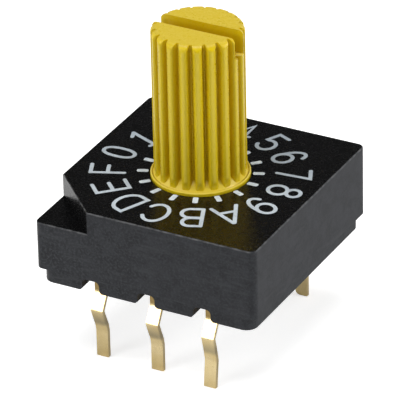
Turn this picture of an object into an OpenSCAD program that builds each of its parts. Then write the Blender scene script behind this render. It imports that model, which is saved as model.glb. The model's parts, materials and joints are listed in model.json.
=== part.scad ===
// Rotary coded DIP switch: square sealed case with a keyed corner, a knurled and
// slotted setting shaft with sixteen detents, and six kinked through-hole leads.
// Millimetres. Origin on the axis of the shaft, in the plane that seats on the
// circuit board. +Z points up the shaft, -Y is the front row of leads.

/* [Case] */
// Side of the square cover
body_w = 10; // [9.6:0.1:12]
// Height of the cover above the stand-off step
cover_h = 3.11; // [2.9:0.05:4.5]
// Height of the stand-off below the cover
standoff_h = 0.62; // [0.55:0.05:1.2]
// Set-back of the stand-off from the cover at the left and right
standoff_in_x = 0.2; // [0.1:0.05:0.35]
// Set-back of the stand-off from the cover at the front and back
standoff_in_y = 0.12; // [0.08:0.04:0.28]
// Radius of the stand-off's upright corners
standoff_r = 0.5; // [0.2:0.1:0.8]
// Radius of the cover's upright corners
corner_r = 0.3; // [0.15:0.05:0.5]
// Radius of the cover's top edges
edge_r = 0.07; // [0.03:0.01:0.12]
// Radius of the outer edges of the key ledge
ledge_r = 0.05; // [0.02:0.01:0.08]
// Thickness of the cover's side walls
wall_t = 0.65; // [0.5:0.05:0.7]
// Thickness of the cover's top wall
roof_t = 0.9; // [0.75:0.05:1.1]

/* [Keyed corner] */
// Length cut off each side at the keyed corner
key_leg = 2.45; // [1.5:0.05:2.8]
// Depth of the keyed corner below the top
key_depth = 1.0; // [0.6:0.1:1.4]

/* [Shaft] */
// Radius over the knurl
shaft_r = 1.9; // [1.7:0.05:2.0]
// Height of the shaft above the cover
shaft_h = 6.66; // [4:0.1:9]
// Number of knurl grooves
groove_n = 20; // [16:2:24]
// Depth of a knurl groove
groove_depth = 0.25; // [0.15:0.01:0.28]
// Width of a knurl groove between the lines of its flanks, at the crest
groove_w = 0.26; // [0.2:0.02:0.3]
// Radius of the floor of a knurl groove
groove_r = 0.06; // [0.04:0.01:0.08]
// Radius of the edges of a knurl ridge
ridge_r = 0.1; // [0.03:0.01:0.11]
// Radius of the shaft's rounded end
shaft_end_r = 0.22; // [0.1:0.01:0.4]
// Width of the driver slot
slot_w = 0.74; // [0.5:0.02:1]
// Depth of the driver slot
slot_depth = 1.0; // [0.6:0.1:1.4]
// Reach of the rim, and of the journal under it, beyond the knurl
rim_over = 0.15; // [0.1:0.01:0.25]
// Height of the journal's rim above the cover
rim_h = 0.13; // [0.08:0.01:0.25]
// Height of the cone between the rim and the groove ends
cone_h = 0.37; // [0.15:0.02:0.5]
// Width of the raised lip round the rim
lip_w = 0.06; // [0.05:0.01:0.08]
// Depth of the valley between the lip and the cone
lip_h = 0.04; // [0.02:0.01:0.06]

/* [Rotor] */
// Number of switch positions
position_n = 16; // [10:2:16]
// Distance from the detent ring to the cover's side walls
ring_gap = 0.75; // [0.7:0.05:0.9]
// Thickness of the detent ring
ring_t = 0.8; // [0.6:0.05:0.9]
// Depth of a detent notch
detent_depth = 0.2; // [0.12:0.02:0.26]
// Radius of a detent notch
detent_r = 0.32; // [0.26:0.02:0.4]
// Radius of the hub that carries the code disc
hub_r = 0.95; // [0.9:0.01:1]
// Width across the hub's two flats
hub_flats = 1.5; // [1.45:0.05:1.7]
// Radius of the pivot pin
pivot_r = 0.65; // [0.5:0.05:0.7]

/* [Code disc] */
// Thickness of the code disc
disc_t = 0.15; // [0.1:0.01:0.2]
// Set-back of the code disc from the edge of the detent ring
disc_in = 0.25; // [0.2:0.01:0.3]
// Distance from the hub to the middle of the innermost code track
track_start = 0.8; // [0.75:0.01:0.85]
// Distance from the disc's edge to the middle of the outermost code track
track_rim = 0.25; // [0.22:0.01:0.3]
// Width of the metal left between two code tracks
track_land = 0.13; // [0.1:0.01:0.16]

/* [Leads and contacts] */
// Distance between neighbouring leads
lead_pitch = 2.54; // [2.5:0.01:2.6]
// Distance of the lead rows from the cover's front and back
lead_in = 1.02; // [0.95:0.01:1.15]
// Width of a lead
lead_w = 0.54; // [0.4:0.02:0.58]
// Thickness of the lead frame sheet
sheet_t = 0.18; // [0.12:0.01:0.22]
// Reach of the leads below the board plane
lead_reach = 3.45; // [3:0.05:5]
// Outward throw of the kink
kink_out = 0.4; // [0.2:0.02:0.45]
// Outward lean of the tail of the front right lead
tail_lean = 0.28; // [0:0.02:0.4]
// Rounding of the tips of the back leads
tip_r = 0.2; // [0.05:0.01:0.2]
// Width of a spring finger
finger_w = 0.3; // [0.24:0.02:0.36]
// Distance from the middle of a lead to the near edge of its tab
tab_in = 0.55; // [0.5:0.05:0.6]
// Width of a tab
tab_w = 0.35; // [0.3:0.01:0.4]
// Width of the ring that joins the common contact's leads
link_w = 0.4; // [0.3:0.02:0.44]

/* [Lead openings] */
// Width of a lead opening in the stand-off
port_w = 0.78; // [0.7:0.02:1.2]
// Height of a lead opening in the stand-off
port_h = 0.52; // [0.4:0.02:0.52]
// Radius of the upper corners of a lead opening
port_r = 0.2; // [0.1:0.02:0.25]
// Width of the flare at each foot of a lead opening
port_flare = 0.1; // [0.05:0.01:0.15]

/* [Seal and spring] */
// Radius of the seal ring's section
seal_r = 0.19; // [0.15:0.01:0.2]
// Thickness of the detent spring
spring_t = 0.12; // [0.08:0.01:0.15]
// Width of the detent spring
spring_w = 0.6; // [0.5:0.05:0.7]

/* [Fits] */
// Radial clearance of the shaft and its pivot
running_fit = 0.05; // [0.02:0.01:0.08]
// Clearance between pieces that are fixed to each other
seat_fit = 0.03; // [0.01:0.01:0.04]
// Clearance between parts that slide over each other
slide_gap = 0.04; // [0.02:0.01:0.06]

/* [Hidden] */

$fn = 64;
// Overlap that carries a cut through the face it starts from
cut = 0.5;

// Levels of the case, from the board up
top_z = standoff_h + cover_h;
roof_z = top_z - roof_t;
ledge_z = top_z - key_depth;
well = body_w / 2 - wall_t;
// The well steps in under the key ledge by a wall's thickness
step_z = ledge_z - wall_t;
deck_t = 0.33;
deck_z = standoff_h + deck_t;
deck_half = well - running_fit;
deck_r = corner_r;

// Radii of the rotor, and its levels from the roof down
journal_r = shaft_r + rim_over;
bore_r = journal_r + running_fit;
ring_r = well - ring_gap;
disc_r = ring_r - disc_in;
ring_top = roof_z - slide_gap;
ring_bottom = ring_top - ring_t;
disc_bottom = ring_bottom - disc_t;
boss_z = disc_bottom - slide_gap;
boss_t = 0.3;
boss_r = pivot_r + running_fit + boss_t;
pivot_floor = 0.35;
pivot_end = pivot_floor + 0.1;
step_angle = 360 / position_n;

// Code tracks, and the angle by which a window stops short of a position's edge
track_n = 4;
track_r = hub_r + track_start;
track_pitch = (disc_r - track_rim - track_r) / (track_n - 1);
window_w = track_pitch - track_land;
window_land = 3;

// Contacts: bit, side of the row, place in the row, track from the middle, angle of the tip
BITS = [
    [1, -1, -1, 3, -145],
    [4, -1, 1, 2, -17],
    [2, 1, -1, 1, 133],
    [8, 1, 1, 0, 42]
];

// Seal ring, in a counterbore under the roof
seal_centre_r = journal_r + slide_gap + seal_r;
seal_bore_r = seal_centre_r + seal_r + seat_fit;
seal_bore_depth = 2 * seal_r + 2 * seat_fit;

// Shaft above the cover
shaft_top = top_z + shaft_h;
rim_z = top_z + rim_h;
rim_edge = 0.04;
lip_in = journal_r - lip_w;
cone_r = lip_in - lip_h;
core_r = shaft_r - groove_depth;
groove_pitch = 360 / groove_n;

// One flank of a knurl groove: where it leaves the round floor, and its direction
flank_foot = [core_r + groove_r, groove_r];
flank_rise = [shaft_r, groove_w / 2] - flank_foot;
flank = flank_rise / norm(flank_rise);
// Centre of the ridge's edge round, which touches the flank and the crest
ridge_from = flank_foot + ridge_r * [-flank[1], flank[0]];
ridge_up = flank * ridge_from;
ridge_run = sqrt(pow(ridge_up, 2) - ridge_from * ridge_from + pow(shaft_r - ridge_r, 2)) - ridge_up;
ridge_centre = ridge_from + ridge_run * flank;
ridge_foot = flank_foot + ridge_run * flank;
ridge_crest = ridge_centre * shaft_r / (shaft_r - ridge_r);

// Contacts: the lead's line, the tab level and the tip level
row_y = body_w / 2 - lead_in;
tab_z = deck_z + sheet_t / 2;
tip_z = disc_bottom - slide_gap - sheet_t / 2;
tab_y = row_y - tab_in;
finger_start_y = tab_y - tab_w;
// A finger leaves its tab level, climbs to the disc and turns down past the tip
finger_flat = 0.25;
tip_flat = 0.05;
tip_over = 0.18;
tip_drop = 0.12;

// Common contact: a plain track inside the coded ones, and the ring round the boss
common_r = (hub_r + track_r) / 2;
common_angle = 57;
link_gap = 0.12;
link_in = boss_r + link_gap;
link_out = link_in + link_w;
branch_y = finger_start_y - finger_w - link_gap;

// Kink of a lead: depths below the board plane, and how far out its soft return still is
kink_start = 0.45;
kink_peak = 1.13;
kink_mid = 1.62;
kink_back = 1.95;
kink_end = 2.25;
kink_mid_out = kink_out / 2;
kink_back_out = 0.06;

// Slots that hold the leads in the stand-off
slot_back = row_y - sheet_t / 2 - seat_fit;

// Detent spring, along the right wall of the well
spring_corner = 1.05;
spring_half = well - spring_corner;
spring_bow = 0.55;
spring_flare = 0.28;
spring_z = ring_bottom + (ring_t - spring_w) / 2;
spring_tip_x = ring_r - detent_depth + slide_gap + spring_t / 2;
spring_flank_x = ring_r + spring_flare;
spring_end_x = well - spring_t / 2 - seat_fit;
rib_t = 0.35;
post_w = 0.8;
post_d = 0.5;

// A solid of revolution about Z from (radius, height) points
module turned(points) {
    rotate_extrude($fn = 96) polygon(points);
}

// A slab with round upright corners, from z0 to z1
module slab(half_x, half_y, r, z0, z1) {
    translate([0, 0, z0]) linear_extrude(z1 - z0) {
        square([2 * half_x, 2 * (half_y - r)], center = true);
        square([2 * (half_x - r), 2 * half_y], center = true);
        for (sx = [-1, 1], sy = [-1, 1])
            translate([sx * (half_x - r), sy * (half_y - r)]) circle(r);
    }
}

// One upright face of the cover, seen along the edge it rounds into
module face_profile(half, z0, z1, e) {
    translate([-half, z0]) square([2 * half, z1 - e - z0]);
    translate([-half + e, z0]) square([2 * (half - e), z1 - z0]);
    for (s = [-1, 1]) translate([s * (half - e), z1 - e]) circle(e, $fn = 32);
}

// A block whose upright corners have radius r and whose top edges have radius e
module rounded_block(half, r, e, z0, z1) {
    straight = 2 * (half - r);
    rotate([90, 0, 0]) linear_extrude(straight, center = true) face_profile(half, z0, z1, e);
    rotate([90, 0, 90]) linear_extrude(straight, center = true) face_profile(half, z0, z1, e);
    for (sx = [-1, 1], sy = [-1, 1])
        translate([sx * (half - r), sy * (half - r), 0]) rotate_extrude() {
            translate([0, z0]) square([r, z1 - e - z0]);
            translate([0, z0]) square([r - e, z1 - z0]);
            translate([r - e, z1 - e]) intersection() {
                circle(e, $fn = 32);
                translate([-e, -e]) square(2 * e);
            }
        }
}

// The keyed corner: everything outside a line across the corner, from z0 up
module key_cut(leg, z0, z1) {
    far = body_w;
    inner = -body_w / 2 + leg;
    translate([0, 0, z0]) linear_extrude(z1 - z0)
        polygon([
            [inner + cut, -body_w / 2 - cut],
            [-body_w / 2 - cut, inner + cut],
            [-far, inner + cut],
            [-far, -far],
            [inner + cut, -far]
        ]);
}

module base() {
    color([0.16, 0.16, 0.17])
    difference() {
        union() {
            slab(body_w / 2 - standoff_in_x, body_w / 2 - standoff_in_y, standoff_r, 0, standoff_h);
            slab(deck_half, deck_half, deck_r, 0, deck_z);
            cylinder(r = boss_r, h = boss_z);
            for (sy = [-1, 1]) spring_post(sy);
        }
        translate([0, 0, pivot_floor]) cylinder(r = pivot_r + running_fit, h = boss_z);
        for (side = [-1, 1], i = [-1, 0, 1]) lead_opening(i * lead_pitch, side);
    }
}

// Post that carries one end of the detent spring
module spring_post(sy) {
    translate([deck_half - post_d, sy * spring_half - post_w / 2, 0])
        cube([post_d, post_w, spring_z]);
}

// Arched opening for one lead at the foot of the stand-off, with the slot above it
module lead_opening(x, side) {
    mouth_y = body_w / 2;
    translate([x, 0, 0]) {
        translate([0, side * (slot_back + mouth_y) / 2, 0])
            rotate([90, 0, 0]) linear_extrude(mouth_y - slot_back, center = true) {
                translate([-port_w / 2, -cut]) square([port_w, cut + port_h - port_r]);
                translate([-port_w / 2 + port_r, 0]) square([port_w - 2 * port_r, port_h]);
                for (s = [-1, 1]) translate([s * (port_w / 2 - port_r), port_h - port_r])
                    circle(port_r, $fn = 32);
                polygon([
                    [-port_w / 2 - port_flare - cut, -cut],
                    [port_w / 2 + port_flare + cut, -cut],
                    [port_w / 2, port_flare],
                    [-port_w / 2, port_flare]
                ]);
            }
        translate([-lead_w / 2 - seat_fit, side * row_y - sheet_t / 2 - seat_fit, 0])
            cube([lead_w + 2 * seat_fit, sheet_t + 2 * seat_fit, deck_z + cut]);
    }
}

// Outside of the cover: a full block up to the key ledge, and the keyed block over it
module cover_outside() {
    rounded_block(body_w / 2, corner_r, ledge_r, standoff_h, ledge_z);
    difference() {
        rounded_block(body_w / 2, corner_r, edge_r, standoff_h, top_z);
        key_cut(key_leg, ledge_z - ledge_r, top_z + cut);
    }
}

module cover() {
    color([0.15, 0.15, 0.16])
    difference() {
        union() {
            difference() {
                cover_outside();
                slab(well, well, deck_r, standoff_h - cut, step_z);
                difference() {
                    slab(well, well, deck_r, step_z - cut, roof_z);
                    key_cut(key_leg + wall_t * sqrt(2), step_z, roof_z + cut);
                }
            }
            for (sy = [-1, 1]) spring_rib(sy);
        }
        cylinder(r = bore_r, h = top_z + cut);
        cylinder(r = seal_bore_r, h = roof_z + seal_bore_depth);
    }
}

// Rib that stops one end of the detent spring
module spring_rib(sy) {
    rib_y = spring_half + spring_t;
    translate([well - rib_t, sy > 0 ? rib_y : -rib_y - rib_t, spring_z])
        cube([rib_t + wall_t / 2, rib_t, roof_z - spring_z + roof_t / 2]);
}

// Section of one knurl groove: a round floor, straight flanks and round mouth edges
module groove_section() {
    translate([flank_foot[0], 0]) circle(groove_r, $fn = 24);
    for (s = [0, 1]) mirror([0, s]) difference() {
        polygon([
            [flank_foot[0], 0],
            flank_foot,
            ridge_foot,
            ridge_crest,
            ridge_crest + [cut, 0],
            [shaft_r + cut, 0]
        ]);
        translate(ridge_centre) circle(ridge_r, $fn = 32);
    }
}

// Knurled stem: grooves all round, cut off square at the top
module knurled_stem(z0, z1) {
    translate([0, 0, z0]) linear_extrude(z1 - z0) difference() {
        circle(shaft_r, $fn = 120);
        for (i = [0 : groove_n - 1]) rotate(i * groove_pitch) groove_section();
    }
}

// Envelope of the stem, which rounds its end
module rounded_end() {
    end_r = shaft_r - shaft_end_r;
    rotate_extrude($fn = 120) {
        translate([0, ring_top]) square([shaft_r + cut, shaft_top - shaft_end_r - ring_top]);
        square([end_r, shaft_top]);
        translate([end_r, shaft_top - shaft_end_r]) intersection() {
            circle(shaft_end_r, $fn = 48);
            square(2 * shaft_end_r);
        }
    }
}

module rotor_shaft() {
    color([0.82, 0.70, 0.18])
    difference() {
        union() {
            intersection() {
                knurled_stem(ring_top, shaft_top);
                rounded_end();
            }
            turned([
                [0, ring_top - ring_t / 2],
                [journal_r, ring_top - ring_t / 2],
                [journal_r, rim_z - rim_edge],
                [journal_r - rim_edge, rim_z],
                [lip_in, rim_z],
                [cone_r, rim_z - lip_h],
                [core_r, rim_z + cone_h],
                [0, rim_z + cone_h]
            ]);
            detent_ring();
            translate([0, 0, disc_bottom]) linear_extrude(disc_t + ring_t / 2) hub_outline(0);
            translate([0, 0, pivot_end]) cylinder(r = pivot_r, h = ring_bottom - pivot_end + ring_t / 2);
        }
        translate([-shaft_r - cut, -slot_w / 2, shaft_top - slot_depth])
            cube([2 * (shaft_r + cut), slot_w, slot_depth + cut]);
    }
}

// Ring with a round notch at each position
module detent_ring() {
    notch_x = ring_r - detent_depth + detent_r;
    translate([0, 0, ring_bottom]) linear_extrude(ring_t) difference() {
        circle(ring_r, $fn = 120);
        for (i = [0 : position_n - 1]) rotate(i * step_angle) translate([notch_x, 0])
            circle(detent_r, $fn = 32);
    }
}

// Outline of the hub with its two flats; grow widens it into the disc's hole
module hub_outline(grow) {
    intersection() {
        circle(hub_r + grow);
        square([2 * (hub_r + grow), hub_flats + 2 * grow], center = true);
    }
}

// Radius of a code track, counted from the middle
function track_radius(track) = track_r + track * track_pitch;

// Windows of one bit: open wherever that bit is 0, from the finger's own angle
module code_windows(bit, track, angle) {
    sweep = step_angle * bit - window_land;
    for (first = [0 : 2 * bit : position_n - 1])
        rotate([0, 0, angle + (first - 0.5) * step_angle + window_land / 2])
            rotate_extrude(angle = sweep, $fn = 96)
                translate([track_radius(track) - window_w / 2, disc_bottom - cut])
                    square([window_w, disc_t + 2 * cut]);
}

module code_disc() {
    color([0.80, 0.66, 0.38])
    difference() {
        translate([0, 0, disc_bottom]) linear_extrude(disc_t) difference() {
            circle(disc_r, $fn = 96);
            hub_outline(seat_fit);
        }
        for (b = BITS) code_windows(b[0], b[3], b[4]);
    }
}

module shaft_seal() {
    color([0.08, 0.08, 0.08])
    translate([0, 0, roof_z + seal_r + seat_fit]) rotate_extrude($fn = 96)
        translate([seal_centre_r, 0]) circle(seal_r, $fn = 32);
}

// A bent strip of sheet: flat runs between points, with a round at each bend
module strip(points, t) {
    for (i = [0 : len(points) - 2]) {
        a = points[i];
        b = points[i + 1];
        d = b - a;
        translate(a) rotate(atan2(d[1], d[0])) translate([0, -t / 2]) square([norm(d), t]);
    }
    for (i = [1 : len(points) - 2]) translate(points[i]) circle(t / 2, $fn = 24);
}

// Sweeps a profile drawn as (distance outward from the axis, height) across X
module across(x, w, side) {
    translate([x, 0, 0]) rotate([90, 0, 90]) linear_extrude(w, center = true)
        mirror([side < 0 ? 1 : 0, 0]) children();
}

// One lead from its tab on the deck to its tip, with an outward lean at the tail
module lead(x, side, lean, tip) {
    difference() {
        across(x, lead_w, side) strip([
            [tab_y, tab_z],
            [row_y, tab_z],
            [row_y, -kink_start],
            [row_y + kink_out, -kink_peak],
            [row_y + kink_mid_out + lean / 4, -kink_mid],
            [row_y + kink_back_out + lean / 2, -kink_back],
            [row_y + lean / 2, -kink_end],
            [row_y + lean, -lead_reach]
        ], sheet_t);
        if (tip > 0) translate([x - lead_w / 2, side * row_y, -lead_reach]) rotate([90, 0, 0])
            linear_extrude(2 * sheet_t + 2 * lean, center = true) difference() {
                translate([-cut, -cut]) square([tip + cut, tip + cut]);
                translate([tip, tip]) circle(tip, $fn = 32);
                translate([tip, -cut]) square([cut, cut + tip]);
            }
    }
}

// Spring finger from the deck up to the code disc, with a turned-down tip
module finger(x, start_y, end_y, side) {
    across(x, finger_w, side) strip([
        [start_y, tab_z],
        [start_y - finger_flat, tab_z],
        [end_y + tip_flat, tip_z],
        [end_y - tip_over, tip_z - tip_drop]
    ], sheet_t);
}

// Contact of one bit: lead, cross tab and spring finger, stamped in one piece
module bit_contact(row) {
    side = row[1];
    x = row[2] * lead_pitch;
    lean = row[2] > 0 && side < 0 ? tail_lean : 0;
    finger_x = track_radius(row[3]) * cos(row[4]);
    finger_y = track_radius(row[3]) * abs(sin(row[4]));
    tab_x0 = min(x - lead_w / 2, finger_x - finger_w / 2);
    tab_x1 = max(x + lead_w / 2, finger_x + finger_w / 2);
    color([0.83, 0.70, 0.42]) {
        lead(x, side, lean, side > 0 ? tip_r : 0);
        translate([tab_x0, side > 0 ? finger_start_y : -tab_y, deck_z])
            cube([tab_x1 - tab_x0, tab_w, sheet_t]);
        finger(finger_x, finger_start_y, finger_y, side);
    }
}

module contact_bit_1() {
    bit_contact(BITS[0]);
}

module contact_bit_2() {
    bit_contact(BITS[2]);
}

module contact_bit_4() {
    bit_contact(BITS[1]);
}

module contact_bit_8() {
    bit_contact(BITS[3]);
}

// Common contact: both middle leads, joined by a ring round the pivot boss
module contact_common() {
    link_mid = (link_in + link_out) / 2;
    finger_x = common_r * cos(common_angle);
    finger_y = common_r * sin(common_angle);
    color([0.83, 0.70, 0.42]) {
        for (side = [-1, 1]) {
            lead(0, side, 0, side > 0 ? tip_r : 0);
            finger(side * finger_x, branch_y, finger_y, side);
        }
        for (turn = [0, 180]) rotate(turn) translate([0, 0, deck_z]) {
            translate([-lead_w / 2, link_mid, 0]) cube([lead_w, tab_y - link_mid, sheet_t]);
            translate([0, branch_y, 0]) cube([finger_x + finger_w / 2, finger_w, sheet_t]);
        }
        translate([0, 0, deck_z]) linear_extrude(sheet_t) difference() {
            circle(link_out);
            circle(link_in);
        }
    }
}

module detent_spring() {
    color([0.72, 0.73, 0.75])
    translate([0, 0, spring_z]) linear_extrude(spring_w) strip([
        [spring_end_x, -spring_half],
        [spring_flank_x, -spring_bow],
        [spring_tip_x, 0],
        [spring_flank_x, spring_bow],
        [spring_end_x, spring_half]
    ], spring_t);
}

base();
cover();
rotor_shaft();
code_disc();
shaft_seal();
detent_spring();
contact_bit_1();
contact_bit_2();
contact_bit_4();
contact_bit_8();
contact_common();
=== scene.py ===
"""Rotary coded DIP switch: looks, print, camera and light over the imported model."""
import json
import math

import bmesh
import bpy
from mathutils import Matrix, Vector


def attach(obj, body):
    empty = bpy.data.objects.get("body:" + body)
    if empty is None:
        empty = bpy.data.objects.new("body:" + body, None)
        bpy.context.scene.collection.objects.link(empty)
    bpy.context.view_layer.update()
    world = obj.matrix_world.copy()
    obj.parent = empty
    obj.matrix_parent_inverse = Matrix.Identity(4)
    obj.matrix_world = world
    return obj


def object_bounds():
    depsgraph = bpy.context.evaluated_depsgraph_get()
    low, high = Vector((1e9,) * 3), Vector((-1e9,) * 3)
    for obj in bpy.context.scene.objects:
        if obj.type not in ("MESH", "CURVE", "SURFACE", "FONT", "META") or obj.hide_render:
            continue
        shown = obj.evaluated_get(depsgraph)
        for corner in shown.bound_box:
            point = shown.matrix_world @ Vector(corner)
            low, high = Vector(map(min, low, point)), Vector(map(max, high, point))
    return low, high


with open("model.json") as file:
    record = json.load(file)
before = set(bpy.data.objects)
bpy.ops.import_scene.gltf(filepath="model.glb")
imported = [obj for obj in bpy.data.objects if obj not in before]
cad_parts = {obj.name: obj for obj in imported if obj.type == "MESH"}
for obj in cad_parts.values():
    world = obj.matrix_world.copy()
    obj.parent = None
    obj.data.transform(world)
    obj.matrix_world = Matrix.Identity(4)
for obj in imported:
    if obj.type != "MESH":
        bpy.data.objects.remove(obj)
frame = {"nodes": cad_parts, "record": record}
cad_lo, cad_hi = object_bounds()


def top_of(name):
    """Height of the highest point of a CAD node."""
    node = frame["nodes"][name]
    return max((node.matrix_world @ vertex.co).z for vertex in node.data.vertices)


# Sizes of the case and the shaft in metres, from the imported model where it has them
MM = 0.001
HALF = cad_hi.x
TOP = top_of("cover")
SHAFT_END = cad_hi.z
KEY_LEG = 2.45 * MM
KEY_DEPTH = 1.0 * MM
KEY_LINE = 2 * HALF - KEY_LEG
LEDGE = TOP - KEY_DEPTH
SHAFT_R = 1.9 * MM
LIP_IN = SHAFT_R + 0.09 * MM
RIDGES = 20

# Heights on a lead: the kink's outermost point, its bend back over the tail, and the neck's end
KINK_PEAK = -1.13 * MM
KINK_BACK = -1.95 * MM
NECK = -0.45 * MM

# The dial in mm: how far the marks and ticks are from the axis, and the strokes of the print
MARKS = "0123456789ABCDEF"
MARK_FOOT = 3.0
TICK_IN, TICK_OUT = 2.18, 2.56
TICK_WIDTH, TICK_CAP = 0.225, 0.05
STROKE = 0.165
INK = 0.008
CAP_STEPS = 10
MITRE_LIMIT = 0.6
SAME_POINT = 1e-4
CLOSING_GAP = 1e-3

# The camera that was fitted to the photograph: degrees, metres, and the photograph's pixels
AZIMUTH, ELEVATION, ROLL = 28.376, 29.043, -1.268
DISTANCE = 193.52 * MM
AIM_RIGHT, AIM_UP = -0.103 * MM, 2.125 * MM
PIXELS_PER_MM = 24.3908
PHOTO_WIDTH = 400
SENSOR = 36

# The round table: its radius in metres, its glow for the camera alone and for all that sees it
TABLE_R = 3.0
GLOW_CAMERA, GLOW_SEEN = 0.55, 0.12

# The room: white up to one height and dark from another (straight up is 1), and its soft light
WHITE_TO, DARK_FROM = 0.06, 0.30
ROOM_DARK = 0.04
ROOM_SOFT = 0.45

# Each lamp: where it stands, the height it points at, its size in metres and its power in watts
LAMPS = {
    "overhead": ((-0.02, -0.08, 0.62), 0.003, 0.50, 2.8),
    "key": ((-0.27, -0.52, 0.30), 0.004, 0.30, 1.0),
    "left": ((-0.57, -0.24, 0.26), 0.006, 0.30, 0.75),
    "right": ((0.58, 0.16, 0.26), 0.006, 0.30, 2.0),
    "back": ((0.20, 0.60, 0.32), 0.004, 0.34, 0.5),
}


# Camera
def view_axes(azimuth, elevation, roll):
    """The camera's right, up and backward directions, from angles in degrees."""
    turn, rise, lean = (math.radians(angle) for angle in (azimuth, elevation, roll))
    level = math.cos(rise)
    back = Vector((math.sin(turn) * level, -math.cos(turn) * level, math.sin(rise)))
    right = Vector((math.cos(turn), math.sin(turn), 0))
    up = back.cross(right)
    leaned_right = math.cos(lean) * right + math.sin(lean) * up
    leaned_up = -math.sin(lean) * right + math.cos(lean) * up
    return leaned_right, leaned_up, back


def make_camera():
    """The camera at the photograph's viewing angle and distance."""
    right, up, back = view_axes(AZIMUTH, ELEVATION, ROLL)
    place = back * DISTANCE + right * AIM_RIGHT + up * AIM_UP
    lens = bpy.data.cameras.new("camera")
    lens.sensor_width = SENSOR
    lens.lens = SENSOR * PIXELS_PER_MM * (DISTANCE / MM) / PHOTO_WIDTH
    lens.clip_start = 0.01
    lens.clip_end = 20
    camera = bpy.data.objects.new("camera", lens)
    turn = Matrix((right, up, back)).transposed()
    camera.matrix_world = Matrix.Translation(place) @ turn.to_4x4()
    bpy.context.scene.collection.objects.link(camera)
    bpy.context.scene.camera = camera


# Makers of shader nodes
class Nodes:
    """A node tree with a small set of node makers."""

    def __init__(self, tree):
        self.tree = tree

    def feed(self, socket, value):
        """Link another node's output to a socket, or set the socket's own value."""
        if isinstance(value, bpy.types.NodeSocket):
            self.tree.links.new(value, socket)
        elif socket.type == "RGBA":
            socket.default_value = (*value, 1.0)
        else:
            socket.default_value = value

    def make(self, kind, inputs=None, **settings):
        """A node with its settings made and its inputs fed."""
        node = self.tree.nodes.new(kind)
        for key, value in settings.items():
            setattr(node, key, value)
        for key, value in (inputs or {}).items():
            self.feed(node.inputs[key], value)
        return node

    def split(self, coordinates):
        """The x, y and z of the surface in the named coordinates."""
        vector = self.make("ShaderNodeTexCoord").outputs[coordinates]
        return self.make("ShaderNodeSeparateXYZ", {0: vector}).outputs

    def noise(self, scale, detail=3, rough=0.55):
        """Noise in the object's space; a scale for each axis stretches it."""
        where = self.make("ShaderNodeTexCoord").outputs["Object"]
        if isinstance(scale, tuple):
            where = self.make("ShaderNodeMapping", {"Vector": where, "Scale": scale}).outputs[0]
            scale = 1.0
        inputs = {"Vector": where, "Scale": scale, "Detail": detail, "Roughness": rough}
        return self.make("ShaderNodeTexNoise", inputs).outputs["Fac"]

    def math(self, operation, first, *others):
        """An operation on one value, or on several in turn."""
        if not others:
            return self.make("ShaderNodeMath", {0: first}, operation=operation).outputs[0]
        result = first
        for value in others:
            node = self.make("ShaderNodeMath", {0: result, 1: value}, operation=operation)
            result = node.outputs[0]
        return result

    def product(self, *values):
        return self.math("MULTIPLY", *values)

    def total(self, *values):
        return self.math("ADD", *values)

    def largest(self, *values):
        return self.math("MAXIMUM", *values)

    def from_axis(self, x, y):
        """Distance from the shaft's axis."""
        return self.math("SQRT", self.total(self.product(x, x), self.product(y, y)))

    def ramp(self, value, lo, hi, out_lo=0.0, out_hi=1.0):
        """Smooth step from out_lo to out_hi while the value goes from lo to hi."""
        inputs = {"Value": value, "From Min": lo, "From Max": hi, "To Min": out_lo, "To Max": out_hi}
        node = self.make("ShaderNodeMapRange", inputs, interpolation_type="SMOOTHSTEP")
        return node.outputs["Result"]

    def band(self, value, rise, full, fade, gone):
        """1 where the value lies between full and fade, with smooth flanks out to rise and gone."""
        return self.product(self.ramp(value, rise, full), self.ramp(value, fade, gone, 1.0, 0.0))

    def mix(self, factor, start, end):
        """One colour turning into another as the factor goes from 0 to 1."""
        return self.make("ShaderNodeMix", {0: factor, 6: start, 7: end}, data_type="RGBA").outputs[2]


class Look(Nodes):
    """A material's nodes, with its shader and the relief under it."""

    def __init__(self, name):
        self.material = bpy.data.materials.new(name)
        self.material.use_nodes = True
        super().__init__(self.material.node_tree)
        self.shader = self.tree.nodes["Principled BSDF"]

    def shade(self, colour, roughness, specular=0.5, metallic=0.0):
        """Colour and gloss of the surface; specular and metallic are the same all over it."""
        inputs = self.shader.inputs
        self.feed(inputs["Base Color"], colour)
        self.feed(inputs["Roughness"], roughness)
        self.feed(inputs["Specular IOR Level"], specular)
        self.feed(inputs["Metallic"], metallic)

    def bump(self, height, distance, strength=1.0, over=None):
        """Relief under the shader; over is a finer relief's normal that it carries."""
        node = self.make("ShaderNodeBump", {"Height": height, "Distance": distance, "Strength": strength})
        if over is not None:
            self.feed(node.inputs["Normal"], over)
        self.feed(self.shader.inputs["Normal"], node.outputs["Normal"])
        return node.outputs["Normal"]


# Black plastic of the case
def smooth_tops_and_key_wall_shade(look):
    """1 on the faces that look up, which the mould left smooth, and on the key's wall, whose share of the
    faces' black is painted shade.
    """
    across, along, upward = look.split("Normal")
    toward_key = look.product(look.total(across, along), -math.sqrt(0.5))
    return look.largest(look.ramp(upward, 0.80, 0.98), look.ramp(toward_key, 0.90, 0.99))


def wall_colour(look, x, cloud, grain, streak):
    """Mottled grey-black of the walls, more worn toward the keyed corner."""
    handled = look.ramp(x, -0.92 * HALF, 0.4 * HALF, 1.0, 0.5)
    colour = look.mix(look.ramp(cloud, 0.36, 0.66), (0.0060, 0.0072, 0.0100), (0.0190, 0.0208, 0.0255))
    grains = look.product(look.ramp(grain, 0.44, 0.66), handled)
    colour = look.mix(grains, colour, (0.038, 0.040, 0.046))
    streaks = look.product(look.ramp(streak, 0.52, 0.75), handled)
    return look.mix(streaks, colour, (0.036, 0.0385, 0.0435))


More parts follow.
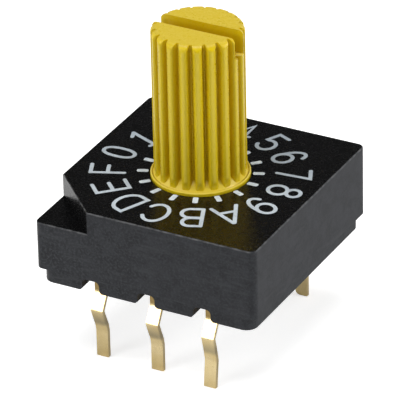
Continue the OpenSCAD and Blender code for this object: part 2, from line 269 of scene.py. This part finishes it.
def face_colour(look, cloud):
    """Deep black of the smooth top faces, also laid on the key's wall as painted shade, with fine specks."""
    speck = look.noise(15000, 2, 0.5)
    colour = look.mix(look.ramp(cloud, 0.3, 0.7), (0.0008, 0.0008, 0.0009), (0.0022, 0.0022, 0.0024))
    return look.mix(look.ramp(speck, 0.54, 0.74, 0.0, 0.8), colour, (0.022, 0.022, 0.0225))


def painted_edge_highlights(look, x, y, z, colour):
    """Painted highlight: the edges round the top and along the front of the key's ledge lightened grey,
    unevenly.
    """
    reach = look.largest(look.math("ABSOLUTE", x), look.math("ABSOLUTE", y))
    outside = look.ramp(reach, HALF - 0.07 * MM, HALF - 0.02 * MM)
    corner = look.product(look.total(x, y), -1.0)
    rim = look.largest(outside, look.ramp(corner, KEY_LINE - 0.09 * MM, KEY_LINE - 0.02 * MM))
    rim = look.product(rim, look.ramp(z, TOP - 0.08 * MM, TOP - 0.03 * MM))
    step = look.band(z, LEDGE - 0.07 * MM, LEDGE - 0.03 * MM, LEDGE, LEDGE + 0.02 * MM)
    step = look.product(step, outside, look.ramp(corner, KEY_LINE - 0.03 * MM, KEY_LINE + 0.05 * MM))
    uneven = look.ramp(look.noise(3200), 0.38, 0.66, 0.2, 1.0)
    # Painted highlight strips along the top edges and the ledge's front edge.
    return look.mix(look.product(look.largest(rim, step), uneven, 0.8), colour, (0.12, 0.122, 0.125))


def case_plastic():
    """Black moulded plastic: mottled satin walls, smoother and blacker faces upward, the key's wall smoother
    with its black painted shade, and painted highlights on the top and ledge edges.
    """
    look = Look("case_plastic")
    x, y, z = look.split("Object")
    smooth = smooth_tops_and_key_wall_shade(look)
    grain = look.noise(9000, 4, 0.6)
    cloud = look.noise(1900, 6, 0.72)
    streak = look.noise((700.0, 700.0, 5000.0), 4, 0.6)
    # The key's wall takes the faces' black as painted shade; the upward faces take it as their own smoother
    # finish.
    colour = look.mix(smooth, wall_colour(look, x, cloud, grain, streak), face_colour(look, cloud))
    roughness = look.total(look.ramp(smooth, 0, 1, 0.54, 0.22), look.ramp(grain, 0.3, 0.7, 0.0, 0.07))
    look.shade(painted_edge_highlights(look, x, y, z, colour), roughness, specular=0.38)
    relief = look.total(grain, look.product(streak, 0.8))
    look.bump(look.product(relief, look.ramp(smooth, 0, 1, 1.0, 0.4)), 0.005 * MM, 0.7)
    return look.material


# Yellow plastic of the shaft
def moulded_yellow(look, draw):
    """Slightly cloudy yellow with faint draw lines along the shaft."""
    cloud = look.noise(450, 3, 0.5)
    colour = look.mix(look.ramp(cloud, 0.3, 0.7), (0.75, 0.540, 0.003), (0.80, 0.590, 0.005))
    return look.mix(look.ramp(draw, 0.3, 0.7, 0.0, 0.35), colour, (0.82, 0.620, 0.010))


def painted_light_on_end_and_foot(look, z, radius, colour):
    """The shaft's end and foot with painted light: painted sheen on the upward faces, a paler foot, painted
    shade in a narrow ring inside the rim's lip, and painted highlight specks.
    """
    upward = look.split("Normal")[2]
    level = look.ramp(upward, 0.5, 0.95)
    # Painted sheen: upward faces recoloured less saturated and bluer.
    colour = look.mix(look.product(level, 0.75), colour, (0.68, 0.500, 0.050))
    foot = look.ramp(z, TOP + 0.42 * MM, TOP + 0.67 * MM, 1.0, 0.0)
    # Painted light: the foot's upward-facing surfaces made paler.
    colour = look.mix(look.product(foot, look.ramp(upward, 0.05, 0.5, 0.0, 0.5)), colour, (0.88, 0.70, 0.10))
    # Painted shade in the crease inside the rim's lip.
    lip_crease_shade = look.band(radius, LIP_IN - 0.07 * MM, LIP_IN - 0.035 * MM, LIP_IN - 0.01 * MM, LIP_IN + 0.015 * MM)
    colour = look.mix(look.product(foot, lip_crease_shade, 0.7), colour, (0.40, 0.26, 0.0))
    # Painted highlight specks, strongest on the upward faces.
    specks = look.ramp(look.noise(11000, 3, 0.6), 0.42, 0.66)
    specks = look.product(specks, look.ramp(level, 0, 1, 0.15, 0.45))
    return look.mix(specks, colour, (0.78, 0.62, 0.12))


def ridge_crests(look, x, y, radius, knurled):
    """1 along the middle of each ridge of the knurl, down to -1 along its grooves."""
    turn = look.product(look.math("ARCTAN2", y, x), float(RIDGES))
    wave = look.product(look.math("COSINE", turn), -1.0)
    return look.product(wave, knurled, look.ramp(radius, SHAFT_R - 0.40 * MM, SHAFT_R - 0.24 * MM))


def shaft_plastic():
    """Yellow satin moulding: crowned ridges with painted highlights along their crests, and painted shade as
    a deeper yellow in the grooves of the knurl.
    """
    look = Look("shaft_plastic")
    x, y, z = look.split("Object")
    radius = look.from_axis(x, y)
    grain = look.noise(6500, 4, 0.65)
    draw = look.noise((2600.0, 2600.0, 160.0), 3, 0.5)
    colour = painted_light_on_end_and_foot(look, z, radius, moulded_yellow(look, draw))
    knurled = look.band(z, TOP + 0.27 * MM, TOP + 0.57 * MM, SHAFT_END - 0.34 * MM, SHAFT_END - 0.09 * MM)
    crest = ridge_crests(look, x, y, radius, knurled)
    # Painted shade: the grooves of the knurl darkened to a deeper yellow.
    groove_shade = look.ramp(radius, SHAFT_R - 0.22 * MM, SHAFT_R - 0.01 * MM, 1.0, 0.0)
    colour = look.mix(look.product(groove_shade, knurled, 0.6), colour, (0.52, 0.335, 0.0))
    # Painted highlight along the middle of each ridge.
    colour = look.mix(look.ramp(crest, 0.55, 1.0, 0.0, 0.55), colour, (0.84, 0.66, 0.085))
    look.shade(colour, look.ramp(grain, 0.3, 0.7, 0.26, 0.36), specular=0.25)
    fine = look.bump(look.total(grain, look.product(draw, 0.5)), 0.004 * MM, 0.6)
    look.bump(crest, 0.055 * MM, over=fine)
    return look.material


# The other materials
def gold(name, plain, pale):
    """Gold plated sheet: uneven plating, fine rolling marks, and painted shade at the kink's bend back and in
    the neck.
    """
    look = Look(name)
    z = look.split("Object")[2]
    cloud = look.noise(900, 4, 0.6)
    fine = look.noise(7000, 3, 0.6)
    rolled = look.noise((9000.0, 9000.0, 500.0), 2, 0.5)
    colour = look.mix(look.ramp(cloud, 0.3, 0.7), plain, pale)
    # Painted shade: the kink's bend back over the tail darkened and greyed, and the neck darkened where it
    # leaves the case.
    kink_shade = look.ramp(z, KINK_BACK - 0.07 * MM, KINK_BACK + 0.21 * MM)
    kink_shade = look.product(kink_shade, look.ramp(z, KINK_BACK + 0.15 * MM, KINK_PEAK + 0.03 * MM, 1.0, 0.0))
    colour = look.mix(look.product(kink_shade, 0.7), colour, (0.34, 0.29, 0.19))
    colour = look.mix(look.ramp(z, NECK + 0.01 * MM, NECK + 0.15 * MM, 0.0, 0.85), colour, (0.24, 0.16, 0.05))
    roughness = look.total(look.ramp(cloud, 0.3, 0.7, 0.14, 0.22), look.ramp(fine, 0.3, 0.7, 0.0, 0.07))
    look.shade(colour, roughness, metallic=1.0)
    look.bump(look.total(rolled, look.product(cloud, 0.8)), 0.004 * MM, 0.5)
    return look.material


def rubber():
    """Black rubber of the seal, with a fine dull grain."""
    look = Look("seal_rubber_look")
    grain = look.noise(6000, 4, 0.6)
    colour = look.mix(look.ramp(grain, 0.3, 0.7), (0.012, 0.012, 0.012), (0.03, 0.029, 0.028))
    look.shade(colour, look.ramp(grain, 0.3, 0.7, 0.55, 0.75))
    look.bump(grain, 0.005 * MM, 0.6)
    return look.material


def steel():
    """Rolled spring steel, brushed along the strip."""
    look = Look("spring_steel_look")
    brushed = look.noise((700.0, 700.0, 14000.0), 3, 0.6)
    colour = look.mix(look.ramp(brushed, 0.3, 0.7), (0.50, 0.50, 0.52), (0.66, 0.66, 0.67))
    look.shade(colour, look.ramp(brushed, 0.3, 0.7, 0.22, 0.36), metallic=1.0)
    look.bump(brushed, 0.003 * MM, 0.5)
    return look.material


def print_ink():
    """Cool white print, slightly uneven; the marks are greyed as painted shade, more than the ticks and most
    of all at the back.
    """
    look = Look("print_ink")
    x, y, _ = look.split("Object")
    cloud = look.noise(1500, 4, 0.6)
    fine = look.noise(9000, 3, 0.6)
    colour = look.mix(look.ramp(cloud, 0.3, 0.7), (0.58, 0.650, 0.715), (0.72, 0.805, 0.880))
    marks = look.ramp(look.from_axis(x, y), (MARK_FOOT - 0.35) * MM, MARK_FOOT * MM)
    # Painted shade: the marks greyed, more toward the back.
    marks_painted_shade = look.product(marks, look.ramp(y, -0.3 * HALF, 0.56 * HALF, 0.28, 0.60))
    colour = look.mix(marks_painted_shade, colour, (0.185, 0.222, 0.262))
    colour = look.mix(look.ramp(fine, 0.50, 0.75, 0.0, 0.45), colour, (0.28, 0.31, 0.345))
    look.shade(colour, look.ramp(fine, 0.3, 0.7, 0.5, 0.65))
    look.bump(fine, 0.003 * MM, 0.5)
    return look.material


# Meshes
def mesh_of(shape, name):
    """The finished mesh of a shape."""
    mesh = bpy.data.meshes.new(name)
    shape.to_mesh(mesh)
    shape.free()
    return mesh


# Dial print, in mm until it is put in its place
def arc(centre_x, centre_y, radius_x, radius_y, start, end, power=2.0, steps=26):
    """Points of an elliptic arc, in degrees; a power over 2 squares it up."""
    points = []
    for i in range(steps + 1):
        angle = math.radians(start + (end - start) * i / steps)
        across, along = (
            math.copysign(abs(part) ** (2 / power), part) for part in (math.cos(angle), math.sin(angle))
        )
        points.append((centre_x + radius_x * across, centre_y + radius_y * along))
    return points


# The strokes of each mark, upright over its foot; LOW and TIP are where they start and end
LOW, TIP = 0.10, 1.48
GLYPHS = {
    "0": [arc(0.04, 0.79, 0.34, 0.69, 0, 360, 2.3, 44)],
    "1": [[(0.09, LOW), (0.09, 1.45)], [(-0.19, 1.19), (0.05, 1.40)], [(-0.13, LOW), (0.30, LOW)]],
    "2": [arc(0, 1.10, 0.34, 0.38, 165, -35) + [(-0.34, LOW), (0.36, LOW)]],
    "3": [arc(0, 1.14, 0.31, 0.34, 155, -75), arc(0, 0.46, 0.36, 0.36, 80, -155)],
    "4": [[(0.20, LOW), (0.20, TIP), (-0.38, 0.50), (0.40, 0.50)]],
    "5": [[(0.32, 1.46), (-0.25, TIP), (-0.30, 0.84)] + arc(0.01, 0.49, 0.37, 0.41, 122, -155)],
    "6": [
        arc(0.0, 0.50, 0.345, 0.41, 0, 360, 2.0, 36),
        arc(0.02, 0.80, 0.365, 0.68, 42, 180, 2.0, 24) + [(-0.345, 0.50)],
    ],
    "7": [[(-0.33, 1.46), (0.35, TIP), (-0.09, LOW)]],
    "8": [arc(-0.02, 1.20, 0.30, 0.29, 0, 360, 2.0, 32), arc(-0.01, 0.50, 0.37, 0.40, 0, 360, 2.0, 36)],
    "9": [
        arc(-0.01, 1.08, 0.355, 0.41, 0, 360, 2.0, 36),
        arc(-0.02, 0.78, 0.365, 0.68, -140, 0, 2.0, 24) + [(0.345, 1.08)],
    ],
    "A": [[(-0.52, LOW), (-0.02, TIP)], [(0.52, LOW), (0.02, TIP)], [(-0.34, 0.57), (0.34, 0.57)]],
    "B": [
        [(-0.40, LOW), (-0.40, TIP)],
        [(-0.40, TIP)] + arc(0.06, 1.155, 0.31, 0.325, 90, -90) + [(-0.39, 0.83)],
        [(-0.39, 0.80)] + arc(0.08, 0.45, 0.37, 0.35, 90, -90) + [(-0.40, LOW)],
    ],
    "C": [arc(0.04, 0.79, 0.49, 0.69, 34, 326, 2.0, 40)],
    "D": [
        [(-0.41, LOW), (-0.37, TIP), (-0.08, TIP)]
        + arc(-0.06, 0.79, 0.53, 0.69, 90, -90, 2.0, 32)
        + [(-0.41, LOW)]
    ],
    "E": [[(0.42, TIP), (-0.30, TIP), (-0.31, LOW), (0.40, LOW)], [(-0.31, 0.79), (0.34, 0.79)]],
    "F": [[(0.44, TIP), (-0.26, TIP), (-0.25, LOW)], [(-0.26, 0.78), (0.35, 0.78)]],
}


def path_of(points):
    """The points as vectors without repeats, and whether they close on themselves."""
    path = [Vector(points[0])]
    for point, earlier in zip(points[1:], points):
        if (Vector(point) - Vector(earlier)).length > SAME_POINT:
            path.append(Vector(point))
    closed = (path[0] - path[-1]).length < CLOSING_GAP
    if closed:
        path.pop()
    return path, closed


def mitred_sides(path, closed, half):
    """The points on the left and on the right of a path, mitred at its corners."""
    left, right = [], []
    for i, point in enumerate(path):
        has_next = closed or i < len(path) - 1
        leaving = (path[(i + 1) % len(path)] - point).normalized() if has_next else None
        arriving = (point - path[i - 1]).normalized() if closed or i else leaving
        if leaving is None:
            leaving = arriving
        side = Vector((-arriving.y, arriving.x))
        middle = (side + Vector((-leaving.y, leaving.x))).normalized()
        reach = half / max(MITRE_LIMIT, middle.dot(side))
        left.append(point + middle * reach)
        right.append(point - middle * reach)
    return left, right


def cap_points(centre, direction, half, depth):
    """Round end of a stroke, from its left side to its right, seen along direction."""
    side = Vector((-direction.y, direction.x))
    turns = [math.pi / 2 - math.pi * k / CAP_STEPS for k in range(1, CAP_STEPS)]
    return [centre + side * half * math.sin(t) + direction * depth * math.cos(t) for t in turns]


def pair(shape, point):
    """A point's two vertices, on the ink's upper and lower face."""
    return shape.verts.new((point.x, point.y, INK)), shape.verts.new((point.x, point.y, 0))


def add_run(shape, left, right, closed):
    """The four long sides of a stroke, from its left and right pairs of vertices."""
    count = len(left)
    for i in range(count if closed else count - 1):
        j = (i + 1) % count
        shape.faces.new((left[i][0], right[i][0], right[j][0], left[j][0]))
        shape.faces.new((left[j][1], right[j][1], right[i][1], left[i][1]))
        shape.faces.new((left[i][0], left[j][0], left[j][1], left[i][1]))
        shape.faces.new((right[j][0], right[i][0], right[i][1], right[j][1]))


def add_cap(shape, start, points, end):
    """The round end of a stroke, between the pairs of vertices start and end."""
    rim = [start] + [pair(shape, point) for point in points] + [end]
    shape.faces.new([vertices[0] for vertices in reversed(rim)])
    shape.faces.new([vertices[1] for vertices in rim])
    for one, other in zip(rim, rim[1:]):
        shape.faces.new((one[0], other[0], other[1], one[1]))


def stroke(points, width, depth):
    """One printed stroke with mitred corners and round ends, as a thin closed solid in mm."""
    path, closed = path_of(points)
    half = width / 2
    shape = bmesh.new()
    left, right = ([pair(shape, point) for point in side] for side in mitred_sides(path, closed, half))
    add_run(shape, left, right, closed)
    if not closed:
        last = cap_points(path[-1], (path[-1] - path[-2]).normalized(), half, depth)
        first = cap_points(path[0], (path[0] - path[1]).normalized(), half, depth)
        add_cap(shape, left[-1], last, right[-1])
        add_cap(shape, right[0], first, left[0])
    bmesh.ops.recalc_face_normals(shape, faces=shape.faces)
    return bpy.data.objects.new("stroke", mesh_of(shape, "stroke"))


def united(strokes):
    """The strokes of one mark, joined into one solid."""
    collection = bpy.context.scene.collection
    for piece in strokes:
        collection.objects.link(piece)
    whole = strokes[0]
    for other in strokes[1:]:
        join = whole.modifiers.new("join", "BOOLEAN")
        join.operation = "UNION"
        join.solver = "EXACT"
        join.object = other
    joined = whole.evaluated_get(bpy.context.evaluated_depsgraph_get())
    mesh = bpy.data.meshes.new_from_object(joined)
    for piece in strokes:
        bpy.data.objects.remove(piece)
    return mesh


def put_on_dial(shape, mesh, angle):
    """Add a mark, drawn upright in mm, with its foot toward the shaft at an angle round it."""
    outward = Vector((math.cos(angle), math.sin(angle), 0))
    side = Vector((outward.y, -outward.x, 0))
    first = len(shape.verts)
    shape.from_mesh(mesh)
    shape.verts.ensure_lookup_table()
    for vertex in shape.verts[first:]:
        x, y, z = vertex.co
        vertex.co = (side * x + outward * (y + MARK_FOOT)) * MM + Vector((0, 0, TOP + z * MM))


def dial_print(ink):
    """Sixteen hexadecimal position marks round the shaft, and a tick for each."""
    shape = bmesh.new()
    tick_line = [(0, TICK_IN - MARK_FOOT), (0, TICK_OUT - MARK_FOOT)]
    for i, mark in enumerate(MARKS):
        angle = math.radians(180 - i * 360 / len(MARKS))
        put_on_dial(shape, united([stroke(lip_crease_shade, STROKE, STROKE / 2) for lip_crease_shade in GLYPHS[mark]]), angle)
        put_on_dial(shape, united([stroke(tick_line, TICK_WIDTH, TICK_CAP)]), angle)
    mesh = mesh_of(shape, "dial_print")
    mesh.materials.clear()
    mesh.materials.append(ink)
    piece = bpy.data.objects.new("dial_print", mesh)
    bpy.context.scene.collection.objects.link(piece)
    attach(piece, "case")


# Studio
def paper():
    """White table that glows a little for the camera, and less in what mirrors it."""
    look = Look("studio_floor")
    look.shade((0.80, 0.80, 0.80), 0.9, specular=0.1)
    rays = look.make("ShaderNodeLightPath").outputs
    seen = look.largest(rays["Is Camera Ray"], rays["Is Glossy Ray"], rays["Is Transmission Ray"])
    strength = look.total(look.product(rays["Is Camera Ray"], GLOW_CAMERA), look.product(seen, GLOW_SEEN))
    white = look.mix(look.ramp(look.noise(40, 2), 0.3, 0.7), (1.0, 1.0, 1.0), (0.99, 0.99, 0.99))
    glow = look.make("ShaderNodeEmission", {"Color": white, "Strength": strength})
    both = look.make("ShaderNodeAddShader", {0: look.shader.outputs[0], 1: glow.outputs[0]})
    look.feed(look.tree.nodes["Material Output"].inputs["Surface"], both.outputs[0])
    return look.material


def floor():
    """The round table, at the tips of the leads."""
    shape = bmesh.new()
    bmesh.ops.create_circle(shape, cap_ends=True, segments=64, radius=TABLE_R)
    mesh = mesh_of(shape, "floor")
    mesh.materials.append(paper())
    table = bpy.data.objects.new("floor", mesh)
    table.location = (0, 0, cad_lo.z)
    bpy.context.scene.collection.objects.link(table)


def backdrop():
    """White for the camera; gloss mirrors a white sweep round the table and a dim room over it."""
    world = bpy.data.worlds.new("studio")
    bpy.context.scene.world = world
    world.use_nodes = True
    nodes = Nodes(world.node_tree)
    room = nodes.ramp(nodes.split("Generated")[2], WHITE_TO, DARK_FROM, 1.0, ROOM_DARK)
    rays = nodes.make("ShaderNodeLightPath").outputs
    mirrored = nodes.product(room, nodes.largest(rays["Is Glossy Ray"], rays["Is Transmission Ray"]))
    level = nodes.largest(nodes.product(room, ROOM_SOFT), mirrored, rays["Is Camera Ray"])
    background = world.node_tree.nodes["Background"]
    nodes.feed(background.inputs["Strength"], level)
    nodes.feed(background.inputs["Color"], (1.0, 1.0, 1.0))


def add_lamp(name, place, height, size, power):
    """A round soft lamp that points at the part's axis at a height."""
    light = bpy.data.lights.new(name, "AREA")
    light.shape = "DISK"
    light.size = size
    light.energy = power
    lamp = bpy.data.objects.new(name, light)
    lamp.location = place
    toward = Vector((0, 0, height)) - Vector(place)
    lamp.rotation_euler = toward.to_track_quat("-Z", "Y").to_euler()
    bpy.context.scene.collection.objects.link(lamp)


def studio():
    """Table, backdrop and lamps."""
    floor()
    backdrop()
    for name, settings in LAMPS.items():
        add_lamp(name, *settings)
    bpy.context.scene.view_settings.view_transform = "Standard"


def dress():
    """Give each CAD node the look of its material slot."""
    looks = {
        "case_black": case_plastic(),
        "shaft_yellow": shaft_plastic(),
        "lead_gold": gold("lead_plating", (0.74, 0.57, 0.27), (0.82, 0.66, 0.36)),
        "disc_gold": gold("disc_plating", (0.70, 0.53, 0.25), (0.80, 0.64, 0.36)),
        "seal_rubber": rubber(),
        "spring_steel": steel(),
    }
    slots = {part["node"]: part["material_slot"] for part in frame["record"]["subparts"]}
    for name, node in frame["nodes"].items():
        for slot in node.material_slots:
            slot.material = looks[slots[name]]


make_camera()
dress()
dial_print(print_ink())
studio()
